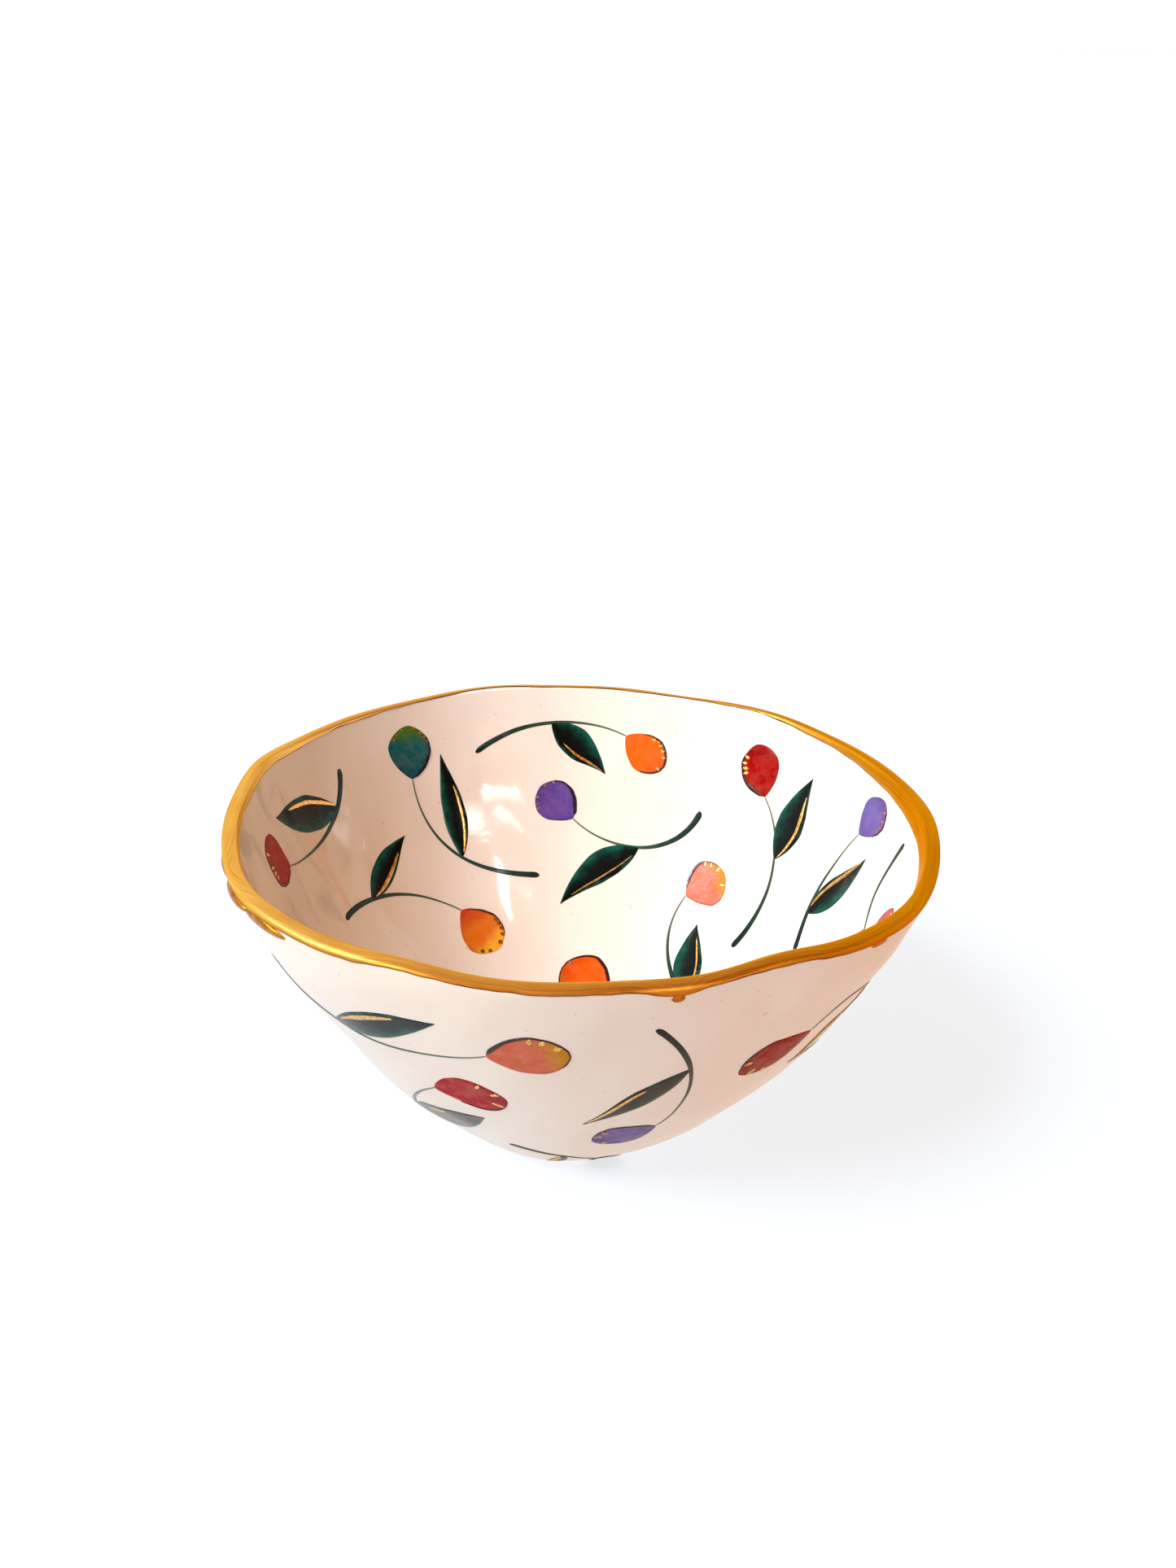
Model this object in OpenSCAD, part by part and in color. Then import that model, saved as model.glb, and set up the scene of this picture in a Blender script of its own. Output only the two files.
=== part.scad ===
// Hand-shaped porcelain bowl with a gilded lip and tulip sprigs painted inside and out.
// The origin is the middle of the bare foot, on the surface that the bowl stands on.
// Azimuths turn anticlockwise from +X, and the best painted side faces -Y.

/* [Bowl] */
// Radius of the outside of the wall at the lip
rim_r = 70.5; // [66:0.5:75]
// Height at which the wall ends and the lip starts to round over
rim_h = 62.5; // [58:0.5:68]
// Radius of the flat underside, where the wall starts
foot_r = 28; // [26:0.5:31]
// Thickness of the wall just below the lip
lip_w = 2.8; // [2.4:0.1:3.4]
// Height of the rounded lip above the end of the wall
lip_h = 1; // [0.8:0.1:1.6]
// Thickness of the floor where it meets the wall
floor_t = 4.5; // [4:0.1:6]
// How far the floor sinks towards its middle
floor_dish = 0.7; // [0:0.1:1.2]
// How much the rim and wall stray from a true round, where 1 is as made
wobble = 1; // [0:0.1:1.5]

/* [Foot] */
// Radius of the bare disc that the bowl stands on
pad_r = 24; // [18:0.5:25]
// Height of the bare disc
foot_t = 0.8; // [0.6:0.1:1.2]

/* [Gold] */
// Thickness of the gold above the glaze
gold_t = 0.25; // [0.15:0.05:0.4]
// Mean reach of the gold below the outer shoulder of the lip. Below 0 it stops on the lip.
gold_out = -0.45; // [-0.6:0.05:0.5]
// Mean reach of the gold below the inner shoulder of the lip. Below 0 it stops on the lip.
gold_in = -0.3; // [-0.5:0.05:0.5]

/* [Enamel] */
// Height of the painted marks above the glaze
enamel_t = 0.25; // [0.15:0.05:0.35]
// Depth to which the painted marks are fused into the glaze
enamel_sink = 0.2; // [0.15:0.05:0.3]
// Width of a stem at its thick end
stem_w = 1.5; // [1:0.1:2]
// Width of the dark and gold lines
line_w = 0.8; // [0.5:0.1:1.2]

/* [Detail] */
// Facets round the bowl
turns = 60; // [48:12:72]

/* [Hidden] */
// Side of the wall. The sign is also the way that azimuth runs for a viewer's right hand.
OUT = 1;
IN = -1;

// Section of the outside of the wall, from the foot to the lip, as shares of its reach and height
SECTION = [[0, 0], [0.18, 0], [0.8, 0.54], [1, 1]];

// Pushes of the potter's fingers on the rim: azimuth, spread, outward, upward
RIM_PUSHES = [
    [10, 25, 1, 0],
    [45, 14, 0.3, 0.5],
    [75, 10, 0, -0.3],
    [105, 12, 0, 0.2],
    [135, 10, 0, -0.2],
    [165, 9, 0.5, 0.3],
    [215, 17, 1.6, -0.7],
    [232, 12, 0, -0.8],
    [255, 9, 0, -0.4],
    [280, 12, 0.4, 0.4],
    [300, 9, -0.7, 0.9],
    [335, 14, 0.9, -2],
    [350, 10, 0.3, -0.6],
];

// Dents in the wall: azimuth, share of the way up, spread in azimuth, spread up the wall, depth
WALL_DENTS = [
    [215, 0.6, 22, 0.16, 1.6],
    [265, 0.12, 35, 0.16, -1.5],
    [329, 0.7, 12, 0.14, 0.5],
];

// Enamel colours
PAINTS = [
    ["teal", [0.10, 0.45, 0.50]],
    ["orange", [0.90, 0.42, 0.12]],
    ["violet", [0.42, 0.22, 0.48]],
    ["red", [0.78, 0.10, 0.10]],
    ["lilac", [0.60, 0.48, 0.66]],
    ["peach", [0.90, 0.60, 0.46]],
    ["coral", [0.92, 0.38, 0.22]],
    ["scarlet", [0.84, 0.16, 0.10]],
    ["amber", [0.93, 0.62, 0.14]],
    ["rose", [0.84, 0.28, 0.36]],
    ["crimson", [0.60, 0.07, 0.16]],
];
GREEN = [0.10, 0.30, 0.26];
NIGHT = [0.10, 0.10, 0.20];
GOLD = [0.83, 0.60, 0.26];

// Sprigs of a tulip head, a stem and a leaf. Directions are those of a compass laid on the wall
// with north to the lip, seen from the painted side. Each sprig is anchored where the head joins
// the stem, at an azimuth and a distance down the wall from the lip. Each row holds:
// name, side, azimuth, down, paint,
// [head direction, length, width], [stem direction, length, bend],
// [leaf place along the stem, direction, length, width, bend],
// side of the head with the dark line, side of the leaf with the gold line (right 1, left -1)
SIDE = 1;
AZ = 2;
DOWN = 3;
PAINT = 4;
HEAD = 5;
STEM = 6;
LEAF = 7;
LINE_SIDE = 8;
GOLD_SIDE = 9;
SPRIGS = [
    ["inner_teal", IN, 129.5, 16.6, "teal",
        [8, 12.5, 11], [189.5, 41, -100], [0.55, 12, 25, 5.8, -20], 1, 1],
    ["inner_orange", IN, 81, 10, "orange",
        [124, 11.5, 9.5], [290, 37.5, -52], [0.49, 127, 18.5, 6.8, 0], -1, 1],
    ["inner_violet", IN, 92, 30.5, "violet",
        [314, 11, 10], [135, 37, -110], [0.47, 241, 24.3, 7, -15], 1, -1],
    ["inner_red", IN, 47, 17.5, "red",
        [329, 12.5, 10], [127, 37.5, 78], [0.4, 3, 20.5, 7.6, 0], -1, 1],
    ["inner_lilac", IN, 19, 13.8, "lilac",
        [20, 10, 9.5], [201, 30, -55], [0.71, 24, 19.5, 6.6, 0], 1, -1],
    ["inner_peach", IN, 58, 45, "peach",
        [45, 11, 11], [200, 27, -90], [0.97, 342, 17, 7.5, 0], -1, 1],
    ["inner_coral", IN, 74, 73, "coral",
        [302, 14, 11], [130, 14, 20], [0.6, 60, 10, 4, 0], 1, 1],
    ["inner_scarlet", IN, 174, 19.3, "scarlet",
        [308, 12, 11.5], [117, 36.5, -92], [0.74, 278, 22, 8.5, 10], 1, 1],
    ["inner_amber", IN, 127.3, 49, "amber",
        [153, 12.5, 11], [311, 37.5, -46], [0.7, 59, 17.8, 6.5, -10], -1, 1],
    ["inner_rose", IN, 346.5, 24.5, "rose",
        [350, 12, 10], [257.5, 30.5, 112], [0.3, 170, 14, 5, 0], 1, -1],
    ["front_coral", IN, 345, 45, "coral",
        [30, 11, 10], [215, 24, 28], [0.95, 330, 16, 6, 0], 1, 1],
    ["front_red", IN, 318, 20, "red",
        [345, 12, 10.5], [175, 36, 70], [0.5, 20, 20, 6, 0], -1, 1],
    ["front_teal", IN, 282, 14, "teal",
        [60, 12, 10.5], [230, 38, -50], [0.45, 140, 20, 6, 0], 1, 1],
    ["front_violet", IN, 262, 40, "violet",
        [120, 11, 10], [290, 30, -50], [0.5, 30, 18, 6, 0], -1, 1],
    ["front_amber", IN, 225, 18, "amber",
        [330, 12, 11], [160, 38, -70], [0.5, 300, 20, 6, 0], 1, -1],
    ["outer_peach", OUT, 256.7, 18.5, "peach",
        [78, 15.3, 11.5], [240, 55, 68], [0.63, 62.5, 27.5, 8, 10], -1, -1],
    ["outer_crimson", OUT, 242.5, 37.5, "crimson",
        [78, 15.7, 12], [232, 28, -45], [0.97, 57, 24, 11, 10], 1, -1],
    ["outer_lilac", OUT, 290, 48.8, "lilac",
        [235, 12.8, 12], [21, 43, -68], [0.58, 222, 25, 6.2, -10], 1, 1],
    ["outer_red", OUT, 315.5, 23.4, "red",
        [233, 15.5, 12], [33, 20, 85], [0.95, 150, 16, 5, 0], 1, 1],
    ["outer_orange", OUT, 350, 38, "orange",
        [100, 12, 11], [265, 30, 15], [0.95, 28, 18, 6, 0], -1, -1],
    ["outer_teal", OUT, 280, 71, "teal",
        [150, 7, 7], [310, 21, -25], [0.4, 200, 7, 3, 0], 1, 1],
    ["back_amber", OUT, 22, 20, "amber",
        [330, 13, 11], [160, 40, -60], [0.5, 40, 22, 6, 0], 1, 1],
    ["back_teal", OUT, 62, 32, "teal",
        [40, 13, 11], [215, 42, 55], [0.5, 300, 22, 6, 0], -1, 1],
    ["back_red", OUT, 108, 18, "red",
        [75, 14, 11], [250, 44, -60], [0.5, 160, 22, 6, 0], 1, -1],
    ["back_violet", OUT, 136, 38, "violet",
        [320, 13, 11], [130, 36, 50], [0.5, 20, 22, 6, 0], 1, 1],
    ["back_rose", OUT, 170, 20, "rose",
        [300, 13, 11], [110, 40, 80], [0.5, 190, 22, 6, 0], -1, 1],
];

// Reach of the gold where it strays from the mean: azimuth, spread, further out, further in
GOLD_REACH = [
    [0, 35, 0.5, 3.5],
    [90, 50, 0.6, -0.5],
    [180, 38, 0.4, 1.6],
    [206, 12, 2.2, 0.3],
    [228, 12, 0.6, 0.2],
    [284.5, 4, 1.2, 0],
    [322, 14, 1.1, 0],
];

// Drops and lumps where the gold ran past its edge: azimuth, down, width, length, height
GOLD_DROPS = [
    [284.5, 1.2, 2.4, 2.1, 0.5],
    [320, 0.9, 5, 1.6, 0.4],
    [219, 1.5, 13, 2.8, 0.8],
    [209, 1.6, 13, 3.1, 1.1],
    [199, 1.5, 11, 2.8, 0.9],
    [64, 1.2, 2, 2, 0.4],
];

HEADS = [for (s = SPRIGS) str(s[0], "_head")];
GREENERY = [for (s = SPRIGS) str(s[0], "_greenery")];

// ---------- the wall ----------

// Sum of a list of numbers or of equal vectors
function total(rows) = [for (r = rows) 1] * rows;

// Turn from one azimuth to another, between -180 and 180
function turn(a, b) = (a - b + 720 + 180) % 360 - 180;

function bell(x) = exp(-x * x);

// Outward and upward shift of the rim at an azimuth
function rim_shift(az) =
    total([for (p = RIM_PUSHES) bell(turn(az, p[0]) / p[1]) * [p[2], p[3]]])
    + [0.25 * sin(7 * az + 40), 0.15 * sin(13 * az + 100)];

// Depth of the dents at an azimuth and a share of the way up
function dent(az, q) =
    total([for (d = WALL_DENTS) d[4] * bell(turn(az, d[0]) / d[2]) * bell((q - d[1]) / d[3])]);

// Point of the wall's section at a share q of the way up, and the slope there
function section(q) =
    3 * q * (1 - q) * (1 - q) * SECTION[1] + 3 * q * q * (1 - q) * SECTION[2] + q * q * q * SECTION[3];
function section_slope(q) =
    3 * (1 - q) * (1 - q) * SECTION[1]
    + 6 * q * (1 - q) * (SECTION[2] - SECTION[1])
    + 3 * q * q * (SECTION[3] - SECTION[2]);

// Thickness of the wall. Below q = 0 lies the floor, whose middle is at q = -1.
function thickness(q) =
    lip_w + (floor_t - lip_w) * pow(min(1, 1 - q), 2)
    - (q < 0 ? floor_dish * (1 - (1 + q) * (1 + q)) : 0);

// Outside of the wall as radius and height, with its outward direction, for a stray of w
function wall_frame(az, q, w) =
    let (
        u = max(0, q),
        shift = w * rim_shift(az),
        reach = rim_r - foot_r + shift[0],
        rise = rim_h - foot_t + shift[1],
        at = section(u),
        along = section_slope(u),
        slope = q < 0 ? [1, 0] : [reach * along[0], rise * along[1]],
        r = q < 0 ? foot_r * (1 + q) : foot_r + reach * at[0] - w * dent(az, q)
    )
    [[r, foot_t + rise * at[1]], [slope[1], -slope[0]] / norm(slope)];

// Point on one side of the wall, lifted off the surface, as radius and height
function skin(side, az, q, lift, w = wobble) =
    let (f = wall_frame(az, q, w))
    f[0] + f[1] * (side == OUT ? lift : -thickness(q) - lift);

// Point on the rounded lip, from phi = 0 on the outside to 180 on the inside
function lip(az, phi, lift) =
    let (
        f = wall_frame(az, 1, wobble),
        up = [-f[1][1], f[1][0]],
        across = sign(cos(phi)) * pow(abs(cos(phi)), 0.7),
        over = pow(max(0, sin(phi)), 0.7)
    )
    f[0] + f[1] * ((lip_w / 2 + lift) * across - lip_w / 2) + up * (lip_h + lift) * over;

function spin(az, rz) = [rz[0] * cos(az), rz[0] * sin(az), rz[1]];

// Tables of [distance down the wall from the lip, q] and [distance, radius] on an even bowl
TABLE_STEPS = 80;
function step_q(i) = 1 - 2 * min(i, TABLE_STEPS) / TABLE_STEPS;
function even_point(side, i) = skin(side, 0, step_q(i), 0, 0);
function down_table(side) = [
    for (
        i = 0, s = 0;
        i <= TABLE_STEPS;
        s = s + norm(even_point(side, i + 1) - even_point(side, i)), i = i + 1
    ) [s, step_q(i), even_point(side, i)[0]]
];
OUT_TABLE = down_table(OUT);
IN_TABLE = down_table(IN);
OUT_Q = [for (row = OUT_TABLE) [row[0], row[1]]];
IN_Q = [for (row = IN_TABLE) [row[0], row[1]]];
OUT_R = [for (row = OUT_TABLE) [row[0], row[2]]];
IN_R = [for (row = IN_TABLE) [row[0], row[2]]];
function down_q(side, down) = lookup(down, side == OUT ? OUT_Q : IN_Q);
function down_r(side, down) = lookup(down, side == OUT ? OUT_R : IN_R);

// Point on one side of the wall at an azimuth and a distance down from the lip
function on_wall(side, az, down, lift) = spin(az, skin(side, az, down_q(side, down), lift));

// ---------- solids ----------

// Faces that join rings of n points, each ring to the next, where closed also joins last to first
function ring_faces(rings, n, closed) = [
    for (j = [0 : rings - (closed ? 1 : 2)], i = [0 : n - 1], half = [0, 1])
        let (
            a = j * n + i,
            b = j * n + (i + 1) % n,
            c = ((j + 1) % rings) * n + (i + 1) % n,
            d = ((j + 1) % rings) * n + i
        )
        half == 0 ? [a, b, c] : [a, c, d]
];

// Solid between a lower and an upper sheet of rows x cols points
module sheet_solid(lower, upper, rows, cols) {
    size = rows * cols;
    edge = concat(
        [for (i = [0 : rows - 1]) i * cols],
        [for (j = [1 : cols - 1]) (rows - 1) * cols + j],
        [for (i = [rows - 2 : -1 : 0]) i * cols + cols - 1],
        [for (j = [cols - 2 : -1 : 1]) j]
    );
    cells = [
        for (i = [0 : rows - 2], j = [0 : cols - 2], half = [0, 1])
            let (a = i * cols + j, d = a + cols)
            half == 0 ? [a, a + 1, d + 1] : [a, d + 1, d]
    ];
    sides = [
        for (k = [0 : len(edge) - 1], half = [0, 1])
            let (a = edge[k], b = edge[(k + 1) % len(edge)])
            half == 0 ? [a, b, b + size] : [a, b + size, a + size]
    ];
    backs = [for (c = cells) [c[2] + size, c[1] + size, c[0] + size]];
    polyhedron(concat(lower, upper), concat(cells, backs, sides));
}

// Point at a share t along a brush stroke that starts at a place and a direction and bends evenly
function along(start, dir, length, bend, t) =
    abs(bend) < 1
    ? start + length * t * [sin(dir), cos(dir)]
    : start + length / (bend * PI / 180)
        * [cos(dir) - cos(dir + bend * t), sin(dir + bend * t) - sin(dir)];

// Widths along a stroke, as a share of its full width
PETAL = function (t) pow(sin(180 * pow(t, 1.25)), 0.6);
BLADE = function (t) pow(sin(180 * pow(t, 0.78)), 1.05);
TAPER = function (t) 0.3 + 0.7 * t;
SPINDLE = function (t) sqrt(sin(180 * t));

// Painted stroke on the wall near an anchor, between two lifts off the glaze. The width follows
// a shape function along the stroke, and offset moves the stroke to its right.
module stroke(anchor, start, dir, length, bend, width, shape, low, high, rows, cols, offset = 0) {
    side = anchor[SIDE];
    end_gap = 0.02;
    function place(i, j, lift) =
        let (
            t = end_gap + (1 - 2 * end_gap) * (1 - cos(180 * i / (rows - 1))) / 2,
            heading = dir + bend * t,
            over = (2 * j / (cols - 1) - 1) * shape(t) * width / 2 + offset,
            flat = along(start, dir, length, bend, t) + over * [cos(heading), -sin(heading)],
            down = anchor[DOWN] - flat[1],
            az = anchor[AZ] + side * flat[0] / down_r(side, down) * 180 / PI
        )
        on_wall(side, az, down, lift);
    lower = [for (i = [0 : rows - 1], j = [0 : cols - 1]) place(i, j, low)];
    upper = [for (i = [0 : rows - 1], j = [0 : cols - 1]) place(i, j, high)];
    sheet_solid(lower, upper, rows, cols);
}

// Strokes that cross become one closed solid
module joined() {
    resize([0, 0, 0]) children();
}

// ---------- bowl ----------

module porcelain_body() {
    wall_steps = 13;
    function ring(point) = [for (i = [0 : turns - 1]) spin(i * 360 / turns, point(i * 360 / turns))];
    rings = concat(
        [for (q = [-0.5, -0.25]) ring(function (az) skin(OUT, az, q, 0))],
        [for (i = [0 : wall_steps]) ring(function (az) skin(OUT, az, i / wall_steps, 0))],
        [for (phi = [30 : 30 : 150]) ring(function (az) lip(az, phi, 0))],
        [for (i = [wall_steps : -1 : 0]) ring(function (az) skin(IN, az, i / wall_steps, 0))],
        [for (q = [-0.25, -0.5, -0.75]) ring(function (az) skin(IN, az, q, 0))]
    );
    middles = [spin(0, skin(OUT, 0, -1, 0)), spin(0, skin(IN, 0, -1, 0))];
    last = (len(rings) - 1) * turns;
    under = len(rings) * turns;
    color("whitesmoke")
        polyhedron(
            concat([for (r = rings, p = r) p], middles),
            concat(
                ring_faces(len(rings), turns, false),
                [for (i = [0 : turns - 1]) [under, (i + 1) % turns, i]],
                [for (i = [0 : turns - 1]) [under + 1, last + i, last + (i + 1) % turns]]
            )
        );
}

module foot_pad() {
    color("tan")
        cylinder(h = foot_t, r = pad_r, $fn = 96);
}

// Length of the curved way over the lip from its outer shoulder to its inner one
LIP_WAY = lip_w + 0.8 * lip_h;

// Reach of the gold below the outer and the inner shoulder, with the ragged edges of a brushed band
function gold_reach(az) =
    [gold_out, gold_in]
    + total([for (g = GOLD_REACH) bell(turn(az, g[0]) / g[1]) * [g[2], g[3]]])
    + [0.12 * sin(11 * az) + 0.08 * sin(23 * az + 50), 0.1 * sin(9 * az + 20) + 0.08 * sin(19 * az)];

// Point on a way that comes up the outside, crosses the lip from 0 to LIP_WAY and goes down inside
function over_lip(az, way, lift) =
    way < 0 ? skin(OUT, az, down_q(OUT, -way), lift)
    : way <= LIP_WAY ? lip(az, 180 * way / LIP_WAY, lift)
    : skin(IN, az, down_q(IN, way - LIP_WAY), lift);

module gold_rim() {
    sink = 0.12;
    steps = 8;
    function band(az, lift) =
        let (reach = gold_reach(az), whole = reach[0] + LIP_WAY + reach[1])
        [for (k = [0 : steps]) over_lip(az, k / steps * whole - reach[0], lift)];
    points = [
        for (i = [0 : turns - 1], k = [0 : 2 * steps + 1])
            let (az = i * 360 / turns)
            spin(az, k <= steps ? band(az, gold_t)[k] : band(az, -sink)[2 * steps + 1 - k])
    ];
    color(GOLD)
        polyhedron(points, ring_faces(turns, 2 * steps + 2, true));
}

module gold_drops() {
    color(GOLD)
        joined()
        for (d = GOLD_DROPS)
            stroke(
                ["drop", OUT, d[0], d[1]], [0, d[3] / 2], 180, d[3], 0, d[2], PETAL,
                -enamel_sink, d[4], 6, 4
            );
}

// ---------- sprigs ----------

function paint(name) = PAINTS[search([name], PAINTS)[0]][1];

module head(s) {
    h = s[HEAD];
    color(paint(s[PAINT]))
        stroke(s, [0, 0], h[0], h[1], 0, h[2], PETAL, -enamel_sink, enamel_t, 8, 4);
}

// Place of the leaf's foot on the stem
function leaf_foot(s) = along([0, 0], s[STEM][0], s[STEM][1], s[STEM][2], s[LEAF][0]);

// The leaf starts on the stem, and both are one run of green
module greenery(s) {
    stem = s[STEM];
    leaf = s[LEAF];
    color(GREEN)
        joined() {
            stroke(s, [0, 0], stem[0], stem[1], stem[2], stem_w, TAPER, -enamel_sink, enamel_t, 11, 2);
            stroke(
                s, leaf_foot(s), leaf[1], leaf[2], leaf[4], leaf[3], BLADE,
                -enamel_sink, 1.2 * enamel_t, 7, 3
            );
        }
}

// Dark line that hugs one side of a head
module dark_line(s) {
    h = s[HEAD];
    way = s[LINE_SIDE];
    start = 0.14 * h[1] * [sin(h[0]), cos(h[0])] + way * 0.34 * h[2] * [cos(h[0]), -sin(h[0])];
    swing = 26;
    stroke(
        s, start, h[0] + way * swing, 0.8 * h[1], -2 * way * swing, line_w, SPINDLE,
        0, 1.5 * enamel_t, 7, 2
    );
}

// Gold line along one side of a leaf, over its middle part
module leaf_gold(s) {
    leaf = s[LEAF];
    from = 0.25;
    share = 0.55;
    start = along(leaf_foot(s), leaf[1], leaf[2], leaf[4], from);
    stroke(
        s, start, leaf[1] + from * leaf[4], share * leaf[2], share * leaf[4], line_w, SPINDLE,
        0, 1.8 * enamel_t, 5, 2, s[GOLD_SIDE] * 0.22 * leaf[3]
    );
}

// Three gold ticks that fan out at the tip of a head
module tip_ticks(s) {
    h = s[HEAD];
    for (k = [-1, 0, 1])
        let (start = 0.72 * h[1] * [sin(h[0] + 14 * k), cos(h[0] + 14 * k)])
        stroke(s, start, h[0] + 22 * k, 0.2 * h[1], 0, line_w, SPINDLE, 0, 1.8 * enamel_t, 3, 2);
}

module dark_lines(side) {
    color(NIGHT)
        joined()
        for (s = SPRIGS)
            if (s[SIDE] == side)
                dark_line(s);
}

module gold_lines(side) {
    color(GOLD)
        joined()
        for (s = SPRIGS)
            if (s[SIDE] == side) {
                leaf_gold(s);
                tip_ticks(s);
            }
}

porcelain_body();
foot_pad();
gold_rim();
gold_drops();
dark_lines(IN);  // inner_dark_lines
dark_lines(OUT);  // outer_dark_lines
gold_lines(IN);  // inner_gold_lines
gold_lines(OUT);  // outer_gold_lines
for (s = SPRIGS) {
    head(s);
    greenery(s);
}
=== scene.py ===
"""Looks of a hand-pinched porcelain bowl: clear glaze, a gilded lip and tulip sprigs in enamel.

The wall is one surface, given by functions of azimuth and of the distance down from the lip, as in
the CAD part. Every coat and brush mark is laid on that surface, so all of them follow the wall.
Lengths are in millimetres until a mesh is made, where they become metres.
"""
import math
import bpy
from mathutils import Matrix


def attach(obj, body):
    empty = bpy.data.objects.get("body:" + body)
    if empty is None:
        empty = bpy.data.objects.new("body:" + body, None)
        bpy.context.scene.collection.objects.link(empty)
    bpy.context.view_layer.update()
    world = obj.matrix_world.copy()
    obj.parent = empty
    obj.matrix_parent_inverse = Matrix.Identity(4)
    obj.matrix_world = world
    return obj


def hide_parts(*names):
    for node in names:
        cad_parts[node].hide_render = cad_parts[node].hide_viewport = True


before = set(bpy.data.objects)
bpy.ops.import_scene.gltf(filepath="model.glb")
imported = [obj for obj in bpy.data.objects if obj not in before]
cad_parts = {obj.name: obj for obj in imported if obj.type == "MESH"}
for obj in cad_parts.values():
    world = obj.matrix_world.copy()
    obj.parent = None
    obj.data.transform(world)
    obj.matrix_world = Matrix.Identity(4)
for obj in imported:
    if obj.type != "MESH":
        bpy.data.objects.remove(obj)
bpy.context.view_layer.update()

import zlib
from typing import Callable, NamedTuple

import bpy
import numpy as np
from mathutils import Matrix, Vector

MM = 0.001
OUT, IN = 1, -1

# ---------------------------------------------------------------- driving sizes, as in the part

RIM_R = 70.5  # outside of the wall at the lip
RIM_H = 62.5  # height where the wall ends and the lip starts to round over
FOOT_R = 28.0  # outside of the wall at the flat underside
LIP_W = 2.8  # wall just below the lip
LIP_H = 1.0  # lip above the end of the wall
FLOOR_T = 4.5  # floor where it meets the wall
FLOOR_DISH = 0.7  # how much thinner the floor is in the middle
PAD_R = 24.0  # bare foot
FOOT_T = 0.8
STEM_W = 1.5  # stem at its thick end

# Section of the outside of the wall, from the foot to the lip, as shares of its reach and height
SECTION = np.array([[0, 0], [0.18, 0], [0.8, 0.54], [1, 1]])

# Pushes of the fingers on the rim: azimuth, spread, outward, upward
RIM_PUSHES = [
    (10, 25, 1, 0),
    (45, 14, 0.3, 0.5),
    (75, 10, 0, -0.3),
    (105, 12, 0, 0.2),
    (135, 10, 0, -0.2),
    (165, 9, 0.5, 0.3),
    (215, 17, 1.6, -0.7),
    (232, 12, 0, -0.8),
    (255, 9, 0, -0.4),
    (280, 12, 0.4, 0.4),
    (300, 9, -0.7, 0.9),
    (335, 14, 0.9, -2),
    (350, 10, 0.3, -0.6),
]

# Dents in the wall: azimuth, share of the way up, spread in azimuth, spread up the wall, depth
WALL_DENTS = [
    (215, 0.6, 22, 0.16, 1.6),
    (265, 0.12, 35, 0.16, -1.5),
    (329, 0.7, 12, 0.14, 0.5),
]


class Sprig(NamedTuple):
    """Tulip sprig, whose head starts at an azimuth and a distance down the wall from the lip.

    The head has a direction, a length and a width, the stem a direction, a length and a bend, and the
    leaf a place along the stem, a direction, a length, a width and a bend. The last two say on which
    side the head has its dark line and the leaf its gold: 1 is the right, -1 the left.
    """

    name: str
    side: int
    az: float
    down: float
    paint: str
    head: tuple
    stem: tuple
    leaf: tuple
    line_side: int
    gold_side: int

    @property
    def anchor(self):
        return self.side, self.az, self.down


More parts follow.
